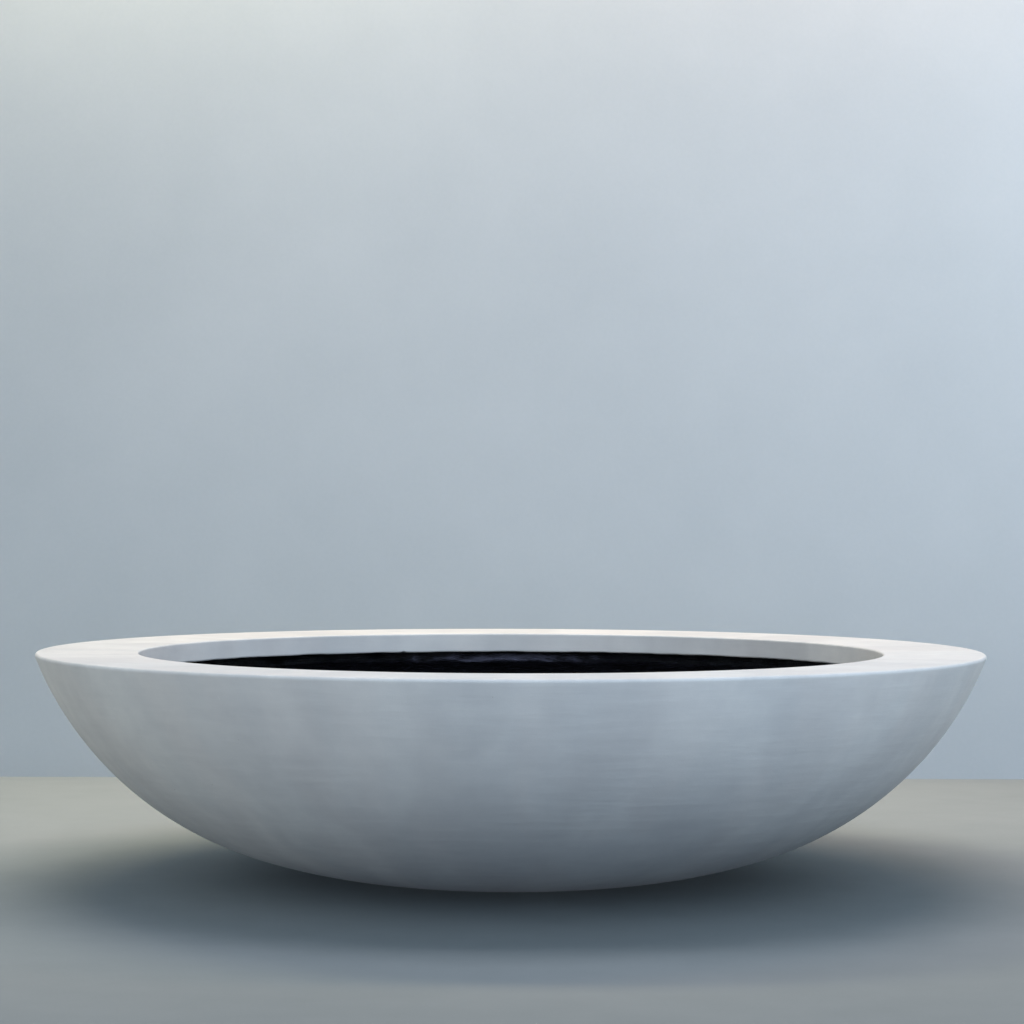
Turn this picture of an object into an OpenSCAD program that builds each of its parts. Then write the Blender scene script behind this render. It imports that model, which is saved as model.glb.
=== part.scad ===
// Large low bowl planter of fibre-reinforced concrete.
// A thin cast bowl carries a flat rim ring with a lip turned down at its inner edge. The inside is
// coated black, and a plugged drain runs through the floor. Millimetres, +Z up.
// The origin is on the axis, at the level that the rubber pads stand on.

/* [Bowl] */
// Overall diameter, over the rounded edge of the rim
bowl_d = 1500; // [1000:10:2000]
// Height of the concrete, from the underside of the foot to the top of the rim
bowl_h = 350; // [260:5:450]
// Diameter of the flat foot
foot_d = 540; // [440:10:760]
// Thickness of the cast wall
wall_t = 18; // [12:1:28]
// Thickness of the floor over the foot
floor_t = 36; // [32:1:60]
// Steepness of the wall where it meets the rounded edge, in degrees
wall_angle = 68.5; // [55:0.5:80]
// Steepness of the wall where it leaves the foot, in degrees
foot_angle = 7.5; // [2:0.5:14]
// Share of the wall's turn that its lower, flatter arc takes
belly = 0.2; // [0.1:0.02:0.6]

/* [Rim] */
// Width of the flat rim, from its outer edge to the opening
rim_w = 160; // [90:5:260]
// Thickness of the rim plate
rim_t = 18; // [14:1:30]
// Depth of the lip at the opening, from the top of the rim
lip_h = 35; // [26:1:90]
// Thickness of the lip
lip_t = 20; // [12:1:30]
// Radius of the rounded outer edge
edge_r = 4; // [2:0.5:12]
// Radius of the rounded inner edges of the lip
lip_edge_r = 3; // [1:0.5:5]
// Legs of the haunch that stiffens the corner of plate and lip
haunch = 12; // [4:1:20]

/* [Joint of rim and wall] */
// Width of the seat at the top of the wall
seat_w = 38; // [32:1:60]
// Height of the seat's upright inner face
seat_face = 14; // [8:1:30]
// Height over which the wall thickens to the seat
seat_ramp = 26; // [10:1:60]
// Thickness of the bed of adhesive mortar
bond_t = 2; // [1:0.5:4]
// Concrete-to-concrete band left on each side of the mortar
bond_margin = 6; // [4:0.5:8]
// Thickness of the flat steel hoop
hoop_t = 5; // [3:0.5:6]
// Height of the flat steel hoop
hoop_h = 8; // [5:0.5:12]
// Mortar over the hoop in its groove
hoop_cover = 4; // [2:0.5:8]

/* [Coating] */
// Thickness of the black waterproof coating
coat_t = 2; // [1:0.5:3]

/* [Drain] */
// Outer diameter of the sleeve's thread
thread_d = 42; // [38:0.5:50]
// Bore above the ledge, where the plug sits
plug_bore_d = 36; // [30:0.5:37]
// Bore below the ledge
outlet_d = 31; // [20:0.5:29.5]
// Diameter of the sleeve's flange
flange_d = 72; // [62:1:90]
// Thickness of the sleeve's flange
flange_t = 3; // [2:0.5:4]
// Thickness of the rubber ring under the flange
seal_t = 3; // [2:0.5:5]
// Depth of the ledge under the top of the flange
ledge_depth = 23; // [20:0.5:26]
// Depth of the cone at the sleeve's mouth
mouth_depth = 4; // [2:0.5:6]
// How much the mouth widens for each millimetre of its depth
mouth_slope = 0.75; // [0.3:0.05:1]
// Depth of the round recess under the foot
recess_h = 15; // [12:0.5:18]
// Diameter of the round recess under the foot
recess_d = 110; // [90:1:160]
// Thickness of the slip washer
washer_t = 2; // [1:0.5:3]
// Diameter of the slip washer
washer_d = 66; // [60:1:80]
// Thickness of the back nut
nut_t = 8; // [6:0.5:9]
// Size of the back nut across its flats
nut_flats = 58; // [50:1:66]

/* [Strainer] */
// Thickness of the strainer disc
strainer_t = 2; // [1:0.5:3]
// Diameter of each hole in the strainer
strainer_hole_d = 4; // [2:0.5:5]
// Rings of holes around the middle one
strainer_rings = 2; // [1:1:2]

/* [Plug] */
// Diameter of the plug's head
head_d = 56; // [48:1:62]
// Thickness of the plug's head
head_t = 5; // [3:0.5:8]
// Length of the plug below its head
shank_l = 15; // [10:0.5:17]
// How much narrower the shank is at its foot
shank_taper = 2; // [1:0.5:5]
// Width of the pull tab
tab_w = 24; // [18:1:32]
// Thickness of the pull tab
tab_t = 6; // [4:0.5:9]
// Height of the hole's middle over the head
tab_rise = 12; // [10:0.5:16]
// Diameter of the finger hole in the tab
tab_hole_d = 12; // [8:0.5:14]

/* [Foot pads] */
// Number of pads
pad_count = 4; // [3:1:6]
// Diameter of each pad
pad_d = 60; // [40:1:70]
// Thickness of each pad
pad_t = 8; // [6:0.5:12]
// Height that the pads hold the concrete off the floor
pad_lift = 4; // [2:0.5:5]
// Distance from a pad's outer side to the edge of the foot
pad_margin = 38; // [20:1:60]

/* [Clearances] */
// Side play around pieces that are set into a pocket or groove
set_play = 0.5; // [0.3:0.1:1]
// Side play of the sleeve in the hole through the floor
hole_play = 1; // [0.5:0.1:2]
// Side play of the back nut on the sleeve's thread
thread_play = 0.1; // [0.05:0.05:0.2]
// Gap between the plug and the sleeve
plug_play = 0.3; // [0.2:0.05:0.5]
// Gap between the strainer's edge and its bore
strainer_play = 0.2; // [0.1:0.05:0.4]

/* [Hidden] */
PAD_NODES = [for (i = [1 : pad_count]) str("foot_pad_", i)];
$fn = 180;
arc_steps = 24;   // straight pieces that stand for each arc of the wall
edge_steps = 8;   // and for each rounded edge
past = 1;         // how far a cutting shape runs past what it cuts

concrete = [0.80, 0.81, 0.81];
black = [0.06, 0.06, 0.07];
steel = [0.72, 0.73, 0.75];
mortar = [0.62, 0.62, 0.60];

// Levels, from the floor up
foot_z = pad_lift;
rim_top_z = foot_z + bowl_h;
joint_z = rim_top_z - rim_t;
lip_z = rim_top_z - lip_h;
floor_z = foot_z + floor_t;
flange_top_z = floor_z + coat_t;
flange_z = flange_top_z - flange_t;
rebate_z = flange_z - seal_t;
recess_z = foot_z + recess_h;
ledge_z = flange_top_z - ledge_depth;
nut_z = recess_z - washer_t - nut_t;

// Radii, from the axis out
bowl_r = bowl_d / 2;
foot_r = foot_d / 2;
open_r = bowl_r - rim_w;
lip_back_r = open_r + lip_t;
rebate_r = flange_d / 2 + set_play;
pad_ring_r = foot_r - pad_margin - pad_d / 2;

// The outside of the wall is two arcs that meet without a corner. An angle is the steepness of the
// wall: 0 is level and 90 upright. The wall ends where the rounded edge of the rim begins.
edge_c = [bowl_r - edge_r, rim_top_z - edge_r];
wall_end = edge_c + edge_r * [sin(wall_angle), -cos(wall_angle)];
span = wall_end - [foot_r, foot_z];
chord_angle = atan2(span[1], span[0]);
meet_low = max(2 * chord_angle - wall_angle, foot_angle);
meet_high = min(2 * chord_angle - foot_angle, wall_angle);
meet_angle = meet_low + belly * (meet_high - meet_low);
// The two radii are the ones that make the arcs' runs and rises add up to the span
low_run = sin(meet_angle) - sin(foot_angle);
low_rise = cos(foot_angle) - cos(meet_angle);
high_run = sin(wall_angle) - sin(meet_angle);
high_rise = cos(meet_angle) - cos(wall_angle);
solve = low_run * high_rise - high_run * low_rise;
low_r = (span[0] * high_rise - high_run * span[1]) / solve;
high_r = (low_run * span[1] - low_rise * span[0]) / solve;
low_c = [foot_r - low_r * sin(foot_angle), foot_z + low_r * cos(foot_angle)];
high_c = wall_end - high_r * [sin(wall_angle), -cos(wall_angle)];

// Radius of the outside of the wall at a height on its upper arc
function outer_r(z) = high_c[0] + sqrt(pow(high_r, 2) - pow(high_c[1] - z, 2));

seat_out_r = outer_r(joint_z);
seat_in_r = seat_out_r - seat_w;
bond_in_r = seat_in_r + bond_margin;
bond_out_r = seat_out_r - bond_margin;
groove_r = (bond_in_r + bond_out_r) / 2;
groove_w = hoop_t + 2 * set_play;
groove_z = joint_z - hoop_cover - hoop_h;

// Points along an arc, from one steepness to another
function arc(c, r, from, to, steps) =
    [for (i = [0 : steps]) let (a = from + (to - from) * i / steps) c + r * [sin(a), -cos(a)]];

// The wall's outline, moved in by a distance
function wall_line(inset) = concat(
    arc(low_c, low_r - inset, foot_angle, meet_angle, arc_steps),
    [for (i = [1 : arc_steps]) arc(high_c, high_r - inset, meet_angle, wall_angle, arc_steps)[i]]);

// Everything between the wall's outline and the axis
module inside_wall(inset) {
    line = wall_line(inset);
    polygon(concat([[0, line[0][1]]], line, [[0, line[len(line) - 1][1]]]));
}

// The rectangle from one radius and height to another
module band(r1, z1, r2, z2) {
    translate([r1, z1]) square([r2 - r1, z2 - z1]);
}

// The seat that the wall thickens to at its top, grown by a skin on its inner side
module seat_profile(skin) {
    inner = seat_in_r - skin;
    face_z = joint_z - seat_face;
    ramp_z = face_z - seat_ramp;
    polygon([[seat_out_r, joint_z], [inner, joint_z], [inner, face_z - skin / 2],
             [outer_r(ramp_z) - wall_t, ramp_z - skin], [seat_out_r, ramp_z - skin]]);
}

// The haunch behind the lip, grown by a skin
module haunch_profile(skin) {
    leg = haunch + skin * sqrt(2);
    polygon([[lip_back_r, joint_z], [lip_back_r + leg, joint_z], [lip_back_r, joint_z - leg]]);
}

// The hollow of the bowl below the lip, made smaller by a skin on every wall
module hollow(skin) {
    difference() {
        intersection() {
            inside_wall(wall_t + skin);
            band(0, floor_z + skin, bowl_r, joint_z - skin);
        }
        seat_profile(skin);
        haunch_profile(skin);
        band(0, lip_z, lip_back_r + skin, rim_top_z);
    }
}

module bowl_shell() {
    color(concrete)
    difference() {
        rotate_extrude()
        difference() {
            intersection() {
                inside_wall(0);
                band(0, foot_z, bowl_r, joint_z);
            }
            difference() {
                intersection() {
                    inside_wall(wall_t);
                    band(0, floor_z, bowl_r, rim_top_z);
                }
                seat_profile(0);
            }
            band(groove_r - groove_w / 2, groove_z, groove_r + groove_w / 2, rim_top_z);
        }
        drain_hole();
        pad_pockets();
    }
}

// The hole through the floor, with a rebate above and a recess below
module drain_hole() {
    translate([0, 0, foot_z - past]) cylinder(d = recess_d, h = recess_h + past);
    translate([0, 0, foot_z]) cylinder(d = thread_d + 2 * hole_play, h = floor_t + past);
    translate([0, 0, rebate_z]) cylinder(r = rebate_r, h = floor_z - rebate_z + past);
}

module pad_pockets() {
    for (i = [1 : pad_count])
        at_pad(i)
            translate([0, 0, foot_z - past])
                cylinder(d = pad_d + 2 * set_play, h = pad_t - pad_lift + past);
}

module rim_ring() {
    edge_start = acos((high_c[1] - joint_z) / high_r);
    color(concrete)
    rotate_extrude()
    difference() {
        polygon(concat(
            arc(high_c, high_r, edge_start, wall_angle, edge_steps),
            arc(edge_c, edge_r, wall_angle, 180, edge_steps),
            arc([open_r + lip_edge_r, rim_top_z - lip_edge_r], lip_edge_r, 180, 270, edge_steps),
            arc([open_r + lip_edge_r, lip_z + lip_edge_r], lip_edge_r, 270, 360, edge_steps),
            [[lip_back_r, lip_z], [lip_back_r, joint_z - haunch], [lip_back_r + haunch, joint_z]]));
        band(bond_in_r, joint_z - past, bond_out_r, joint_z + bond_t);
    }
}

module rim_bond() {
    color(mortar)
    rotate_extrude() {
        band(bond_in_r, joint_z, bond_out_r, joint_z + bond_t);
        band(groove_r - groove_w / 2, joint_z - hoop_cover, groove_r + groove_w / 2, joint_z + bond_t);
    }
}

module rim_hoop() {
    color(steel)
    rotate_extrude()
        band(groove_r - hoop_t / 2, groove_z, groove_r + hoop_t / 2, groove_z + hoop_h);
}

module waterproof_coating() {
    color(black)
    rotate_extrude()
    difference() {
        hollow(0);
        hollow(coat_t);
        band(0, floor_z - past, rebate_r, lip_z);
    }
}

// Sleeve with a coned mouth, a bore for the plug and a ledge for the strainer
module drain_body() {
    color(black)
    rotate_extrude()
        polygon([[outlet_d / 2, foot_z + past], [thread_d / 2, foot_z + past],
                 [thread_d / 2, flange_z], [flange_d / 2, flange_z], [flange_d / 2, flange_top_z],
                 [plug_bore_d / 2 + mouth_depth * mouth_slope, flange_top_z],
                 [plug_bore_d / 2, flange_top_z - mouth_depth],
                 [plug_bore_d / 2, ledge_z], [outlet_d / 2, ledge_z]]);
}

module drain_seal() {
    color(black)
    translate([0, 0, rebate_z])
        washer(flange_d, thread_d + 2 * set_play, seal_t);
}

module drain_washer() {
    color(black)
    translate([0, 0, recess_z - washer_t])
        washer(washer_d, thread_d + 2 * set_play, washer_t);
}

module drain_nut() {
    color(black)
    translate([0, 0, nut_z])
    difference() {
        cylinder(d = nut_flats / cos(30), h = nut_t, $fn = 6);
        translate([0, 0, -past]) cylinder(d = thread_d + 2 * thread_play, h = nut_t + 2 * past);
    }
}

// A disc with a middle hole and rings of six, twelve and more
module drain_strainer() {
    pitch = (plug_bore_d / 2 - strainer_hole_d) / (strainer_rings + 0.3);
    color(steel)
    translate([0, 0, ledge_z])
    difference() {
        cylinder(d = plug_bore_d - 2 * strainer_play, h = strainer_t);
        strainer_hole(0, 0);
        for (ring = [1 : strainer_rings], i = [1 : 6 * ring])
            strainer_hole(ring * pitch, i * 60 / ring);
    }
}

module strainer_hole(r, turn) {
    rotate(turn) translate([r, 0, -past])
        cylinder(d = strainer_hole_d, h = strainer_t + 2 * past, $fn = 24);
}

// Head, tapered shank and pull tab, moulded in one. The head lies on the flange.
module drain_plug() {
    color(black)
    translate([0, 0, flange_top_z + plug_play]) {
        plug_round();
        difference() {
            plug_tab(tab_t, tab_w);
            rotate([90, 0, 0])
                translate([0, head_t + tab_rise, -tab_t])
                    cylinder(d = tab_hole_d, h = 2 * tab_t, $fn = 48);
        }
    }
}

// The plug's head and shank, measured from the underside of the head
module plug_round() {
    cone_r = plug_bore_d / 2 - plug_play;
    head_edge = head_t / 3;
    rotate_extrude()
        polygon([[0, -shank_l], [cone_r - shank_taper, -shank_l],
                 [cone_r, -mouth_depth - plug_play], [cone_r + mouth_depth * mouth_slope, 0],
                 [head_d / 2, 0], [head_d / 2, head_t - head_edge],
                 [head_d / 2 - head_edge, head_t], [0, head_t]]);
}

// An upright tab with a round top
module plug_tab(t, w) {
    translate([0, t / 2, 0]) rotate([90, 0, 0]) linear_extrude(t) {
        translate([-w / 2, head_t / 2]) square([w, head_t / 2 + tab_rise]);
        translate([0, head_t + tab_rise]) circle(d = w);
    }
}

module foot_pad(i) {
    color(black)
    at_pad(i) cylinder(d = pad_d, h = pad_t);
}

// Puts its children at one pad's place on the foot
module at_pad(i) {
    rotate(i * 360 / pad_count - 180 / pad_count) translate([pad_ring_r, 0, 0]) children();
}

// A flat ring
module washer(outer, inner, t) {
    difference() {
        cylinder(d = outer, h = t);
        translate([0, 0, -past]) cylinder(d = inner, h = t + 2 * past);
    }
}

bowl_shell();
rim_ring();
rim_bond();
rim_hoop();
waterproof_coating();
drain_body();
drain_seal();
drain_washer();
drain_nut();
drain_strainer();
drain_plug();
for (i = [1 : pad_count])
    foot_pad(i);
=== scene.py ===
# %% [markdown]
# # A low, wide bowl planter in cast concrete
#
# The object is a bowl of revolution, 1.5 m across and only 0.35 m high. Its wall is a thin skin of
# fibre concrete. A flat ring with a lip turned down is bonded on top, the inside is coated black, and
# a drain with a rubber plug goes through the floor. The measured model is loaded first and stays as
# it is. Everything below either gives its pieces a better finish or puts a finer piece in the place
# of one of them.

# %% Load the measured model
import math

import bmesh
import bpy
from mathutils import Matrix, Vector


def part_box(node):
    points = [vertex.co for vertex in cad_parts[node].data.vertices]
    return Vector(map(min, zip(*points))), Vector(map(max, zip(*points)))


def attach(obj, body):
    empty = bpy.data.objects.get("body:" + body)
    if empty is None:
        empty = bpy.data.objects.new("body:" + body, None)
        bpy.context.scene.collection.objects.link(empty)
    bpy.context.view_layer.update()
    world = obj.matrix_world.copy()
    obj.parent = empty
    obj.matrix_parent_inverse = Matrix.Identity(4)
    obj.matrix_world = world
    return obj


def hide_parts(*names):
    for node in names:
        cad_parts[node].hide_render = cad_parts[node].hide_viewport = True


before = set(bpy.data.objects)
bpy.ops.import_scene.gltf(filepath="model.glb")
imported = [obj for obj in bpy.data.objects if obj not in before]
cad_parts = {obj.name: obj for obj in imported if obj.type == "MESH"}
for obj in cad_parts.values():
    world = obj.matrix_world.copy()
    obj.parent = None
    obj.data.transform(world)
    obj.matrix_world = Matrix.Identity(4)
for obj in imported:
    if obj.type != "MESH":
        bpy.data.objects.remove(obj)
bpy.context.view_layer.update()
print("pieces in the measured model:", len(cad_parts))

# %% [markdown]
# ## Sizes
#
# Most sizes are read from the boxes of the measured pieces, so nothing has to be fitted later. The
# few that a box doesn't tell, such as the steepness of the wall, are named here once. All lengths
# are in metres, and all angles named here are in degrees.

# %% Read the levels and radii from the boxes, and name the rest
MM = 0.001
ring_low, ring_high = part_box("rim_ring")
shell_low, shell_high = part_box("bowl_shell")
film_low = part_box("waterproof_coating")[0]
sleeve_low, sleeve_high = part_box("drain_body")
seal_low, seal_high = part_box("drain_seal")
washer_low, washer_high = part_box("drain_washer")
nut_low, nut_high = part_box("drain_nut")
strainer_low, strainer_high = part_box("drain_strainer")
plug_low, plug_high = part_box("drain_plug")

bowl_r = ring_high.x
rim_top = ring_high.z
lip_z = ring_low.z
joint_z = shell_high.z
foot_z = shell_low.z
floor_z = film_low.z
film_t = sleeve_high.z - floor_z
recess_z = washer_high.z

foot_r = 270 * MM
wall_t = 18 * MM
wall_angle = 68.5  # steepness of the wall at the rim
foot_angle = 7.5  # steepness of the wall at the foot
belly = 0.2  # where the two arcs meet, as a share of the steepness that they may have there
open_r = bowl_r - 160 * MM
lip_t = 20 * MM
lip_back_r = open_r + lip_t
edge_r = 4 * MM
lip_edge_r = 3 * MM
rim_fall = 1.5 * MM
haunch = 12 * MM
seat_w = 38 * MM
seat_face = 14 * MM
seat_ramp = 26 * MM
bond_margin = 6 * MM
bond_t = 2 * MM
groove_w = 6 * MM
groove_depth = 12 * MM
recess_r = 55 * MM
sleeve_hole_r = 22 * MM
rebate_r = 36.5 * MM
print("rim top", round(rim_top, 4), "lip", round(lip_z, 4), "floor", round(floor_z, 4))

# %% [markdown]
# ## The camera
#
# A long lens far away keeps the ellipses of the rim very flat, as they are in the picture to match.
# The camera stands 4.5 m from the bowl's axis and about 24 cm above the rim's level. The place, the
# lens and the small tilts come from fitting the outline of the bowl.

# %% Place the camera
CAMERA_DISTANCE = 4.5
CAMERA_OVER_RIM = 0.2364
CAMERA_LENS = 99.04
CAMERA_SENSOR = 36
CAMERA_PITCH = math.radians(-0.206)
CAMERA_YAW = math.radians(-0.018)
CAMERA_ROLL = 0.0026

scene = bpy.context.scene


def placed(name, data):
    """An object of some data, in the scene."""
    made = bpy.data.objects.new(name, data)
    scene.collection.objects.link(made)
    return made


camera_data = bpy.data.cameras.new("camera")
camera_data.lens = CAMERA_LENS
camera_data.sensor_width = CAMERA_SENSOR
camera = placed("camera", camera_data)
turn = (Matrix.Rotation(CAMERA_YAW, 4, "Z") @ Matrix.Rotation(math.pi / 2 + CAMERA_PITCH, 4, "X")
        @ Matrix.Rotation(CAMERA_ROLL, 4, "Z"))
camera.matrix_world = Matrix.Translation((0, -CAMERA_DISTANCE, rim_top + CAMERA_OVER_RIM)) @ turn
scene.camera = camera
scene.view_settings.view_transform = "Standard"
print("camera at", [round(v, 3) for v in camera.location])

# %% [markdown]
# ## Helpers for node trees
#
# Geometry Nodes and materials are both node trees, so one small set of helpers writes both. What a
# node puts out is kept as a Value, which knows its tree. Sums on values are written as usual: `a * b`
# adds a node that multiplies. `add` makes any node, `new_group` makes a tree with named inputs that
# other trees can use, `use` places such a group, and `send` connects values to the end of a tree.
# Where an input is named as an argument, an underscore stands for a space.

# %% Values, and sums on them
class Value:
    """What a node puts out. Each sum on values adds one node to their tree."""

    def __init__(self, tree, socket):
        self.tree = tree
        self.socket = socket

    def __add__(self, other):
        return calc("ADD", self, other)

    def __sub__(self, other):
        return calc("SUBTRACT", self, other)

    def __rsub__(self, other):
        return calc("SUBTRACT", other, self)

    def __mul__(self, other):
        return calc("MULTIPLY", self, other)

    def __truediv__(self, other):
        return calc("DIVIDE", self, other)

    def __rtruediv__(self, other):
        return calc("DIVIDE", other, self)


def tree_of(inputs):
    """The tree that some inputs come from."""
    return next(value.tree for value in inputs if isinstance(value, Value))


def add(tree, kind, wires=None, **settings):
    """Adds a node. wires gives its inputs, by name or number, and an input that joins takes a list."""
    node = tree.nodes.new(kind)
    for key, value in settings.items():
        setattr(node, key, value)
    for key, value in (wires or {}).items():
        if isinstance(value, (Value, list)):
            for one in value if isinstance(value, list) else [value]:
                tree.links.new(one.socket, node.inputs[key])
        else:
            node.inputs[key].default_value = value
    made = {}
    for i, socket in enumerate(node.outputs):
        made[i] = Value(tree, socket)
        made.setdefault(socket.name, made[i])
    return made


def calc(operation, *values):
    """One sum on numbers."""
    return add(tree_of(values), "ShaderNodeMath", dict(enumerate(values)), operation=operation)[0]


def vector(operation, *values, **more):
    """One sum on vectors."""
    made = add(tree_of(values), "ShaderNodeVectorMath", dict(enumerate(values)) | more, operation=operation)
    return made["Value" if operation in ("LENGTH", "DISTANCE") else "Vector"]


def split(place):
    """The three parts of a vector."""
    parts = add(place.tree, "ShaderNodeSeparateXYZ", {"Vector": place})
    return parts["X"], parts["Y"], parts["Z"]


def join(x=0.0, y=0.0, z=0.0):
    """A vector made of three parts."""
    return add(tree_of((x, y, z)), "ShaderNodeCombineXYZ", {"X": x, "Y": y, "Z": z})["Vector"]


def rotated(place, turn):
    """A place turned about the three axes."""
    return add(place.tree, "ShaderNodeVectorRotate", {"Vector": place, "Rotation": turn},
               rotation_type="EULER_XYZ")["Vector"]


def noise(place, scale, **more):
    """Soft noise around one half. more sets the texture's other inputs."""
    return add(place.tree, "ShaderNodeTexNoise", {"Vector": place, "Scale": scale} | more)["Fac"]


def ramp(value, low, high, to_low=0.0, to_high=1.0, smooth=True):
    """Takes a value from one range to another, and holds it at both ends."""
    wires = {"Value": value, "From Min": low, "From Max": high, "To Min": to_low, "To Max": to_high}
    kind = "SMOOTHSTEP" if smooth else "LINEAR"
    return add(value.tree, "ShaderNodeMapRange", wires, interpolation_type=kind)["Result"]


print("values ready")

# %% Groups with named inputs
NUMBER, COUNT, PLACE, PAINT = "NodeSocketFloat", "NodeSocketInt", "NodeSocketVector", "NodeSocketColor"
SHAPE, FINISH = "NodeSocketGeometry", "NodeSocketMaterial"
FOR_SHADERS, FOR_SHAPES = "ShaderNodeTree", "GeometryNodeTree"


def spoken(names):
    """The names of arguments as the names of inputs."""
    return {name.replace("_", " "): value for name, value in names.items()}


def socket_kind(first):
    """The kind of socket that holds a first value. A kind stands for itself, without a first value."""
    if isinstance(first, str):
        return first
    if isinstance(first, tuple):
        return PAINT if len(first) == 4 else PLACE
    return COUNT if isinstance(first, int) else NUMBER


def new_group(name, kind, outputs, **inputs):
    """A node group. Returns its tree, the values given to it by name, and the sockets at its end."""
    tree = bpy.data.node_groups.new(name, kind)
    for label, first in spoken(inputs).items():
        made = tree.interface.new_socket(label, in_out="INPUT", socket_type=socket_kind(first))
        if not isinstance(first, str):
            made.default_value = first
    for label, socket_type in outputs.items():
        tree.interface.new_socket(label, in_out="OUTPUT", socket_type=socket_type)
    print("group:", name)
    return tree, add(tree, "NodeGroupInput"), tree.nodes.new("NodeGroupOutput").inputs


def use(group, **inputs):
    """Places a group in the tree that its inputs come from, and returns what it puts out."""
    kind = "GeometryNodeGroup" if group.bl_idname == FOR_SHAPES else "ShaderNodeGroup"
    return add(tree_of(inputs.values()), kind, spoken(inputs), node_tree=group)


def send(sockets, **values):
    """Connects values to sockets by name."""
    for label, value in spoken(values).items():
        value.tree.links.new(value.socket, sockets[label])


print("groups ready")

# %% [markdown]
# ## Shared effects of the finishes
#
# The cement, the black coating, the plastic and the rubber share a few effects: cloudy colour, small
# pores, light ticks from handling, strokes that run round the axis, fibres under a coat, wear along a
# round edge and settled dust. Each effect is one node group with named inputs. A group puts out only
# a value or a colour, so every material keeps its own shader and its own numbers.

# %% Mix colours
def tint(factor, first, second):
    """Mixes two colours."""
    return add(factor.tree, "ShaderNodeMix", {"Factor": factor, 6: first, 7: second}, data_type="RGBA")[2]


# %% Cloudy colour of a cement paste
clouds, given, result = new_group(
    "cement_clouds", FOR_SHADERS, {"Color": PAINT, "Value": NUMBER},
    Vector=PLACE, Cloud_Size=0.2, Pale=(0.7, 0.7, 0.7, 1), Dark=(0.5, 0.5, 0.5, 1))
cloud_scale = 1.0 / given["Cloud Size"]
big = noise(given["Vector"], cloud_scale, Detail=3.0, Distortion=0.5)
small = noise(given["Vector"], cloud_scale * 5.0, Detail=5.0, Roughness=0.6)
grain = noise(given["Vector"], cloud_scale * 110.0, Detail=2.0)
cloud_value = ramp(big * 0.5 + (small * 0.34 + grain * 0.16), 0.34, 0.66, smooth=False)
send(result, Value=cloud_value, Color=tint(cloud_value, given["Dark"], given["Pale"]))

# %% Round specks: pores, and with one axis squeezed, light ticks
specks, given, result = new_group("specks", FOR_SHADERS, {"Mask": NUMBER}, Vector=PLACE, Spacing=0.01,
                                  Radius=0.001)
cells = add(specks, "ShaderNodeTexVoronoi", {"Vector": given["Vector"], "Scale": 1.0 / given["Spacing"]})
away = cells["Distance"] * given["Spacing"]
send(result, Mask=ramp(away, given["Radius"] * 0.5, given["Radius"], 1.0, 0.0))

ticks, given, result = new_group("light_ticks", FOR_SHADERS, {"Mask": NUMBER}, Vector=PLACE, Spacing=0.012,
                                 Width=0.0005, Stretch=24.0, Turn=(0.4, 0.9, 0.2))
squeeze = join(1.0 / given["Stretch"], 1.0, 1.0)
stretched = vector("MULTIPLY", rotated(given["Vector"], given["Turn"]), squeeze)
send(result, Mask=use(specks, Vector=stretched, Spacing=given["Spacing"], Radius=given["Width"])["Mask"])

# %% Strokes that run round the axis, from a brush, a trowel or a lathe
OUTWARD_SHARE = 0.8  # how much a step outwards counts against a step up
strokes, given, result = new_group("round_strokes", FOR_SHADERS, {"Value": NUMBER}, Vector=PLACE,
                                   Strokes_Round=6.0, Stroke_Width=0.01, Fineness=3.0, Bend=0.0)
x, y, z = split(given["Vector"])
flat_place = join(x, y)
heading_x, heading_y = split(vector("NORMALIZE", flat_place))[:2]
across = (vector("LENGTH", flat_place) * OUTWARD_SHARE + z) / given["Stroke Width"]
wrapped = join(heading_x * given["Strokes Round"], heading_y * given["Strokes Round"], across)
send(result, Value=noise(wrapped, 1.0, Detail=given["Fineness"], Roughness=0.6, Distortion=given["Bend"]))

# %% Chopped fibres under a coat: three crossing sets of long, thin noise
fibres, given, result = new_group("fibre_mat", FOR_SHADERS, {"Value": NUMBER}, Vector=PLACE,
                                  Fibre_Width=0.002, Fibre_Length=0.05)
thin = 1.0 / given["Fibre Width"]
squeeze = join(1.0 / given["Fibre Length"], thin, thin)
layers = []
for lay in ((0.3, 0.5, 0.2), (1.2, -0.4, 1.1), (-0.6, 1.4, 2.3)):
    threads = noise(vector("MULTIPLY", rotated(given["Vector"], lay), squeeze), 1.0, Detail=1.0)
    layers.append(ramp(threads, 0.5, 0.75))
send(result, Value=calc("MAXIMUM", layers[0], calc("MAXIMUM", layers[1], layers[2])))

# %% Wear along a round edge, and dust on what faces up
wear, given, result = new_group("round_edge_wear", FOR_SHADERS, {"Mask": NUMBER}, Vector=PLACE,
                                Edge_Radius=0.5, Edge_Height=0.3, Reach=0.006)
x, y, z = split(given["Vector"])
from_edge = join(vector("LENGTH", join(x, y)) - given["Edge Radius"], z - given["Edge Height"])
near_edge = ramp(vector("LENGTH", from_edge), 0.0, given["Reach"], 1.0, 0.0)
send(result, Mask=near_edge * ramp(noise(given["Vector"], 38.0, Detail=4.0), 0.42, 0.62))

dust, given, result = new_group("settled_dust", FOR_SHADERS, {"Mask": NUMBER}, Vector=PLACE, Normal=PLACE,
                                Patch_Size=0.05)
facing_up = split(given["Normal"])[2]
patches = noise(given["Vector"], 1.0 / given["Patch Size"], Detail=6.0, Roughness=0.65)
send(result, Mask=ramp(facing_up, 0.55, 0.98) * ramp(patches, 0.42, 0.72))

# %% [markdown]
# ## Materials
#
# Every material starts from one shader whose plain numbers are set on its own sockets. What changes
# over the surface comes from the groups above and reads Object coordinates, so it stays in place when
# the piece is seen from another side, moved or exported.

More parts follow.
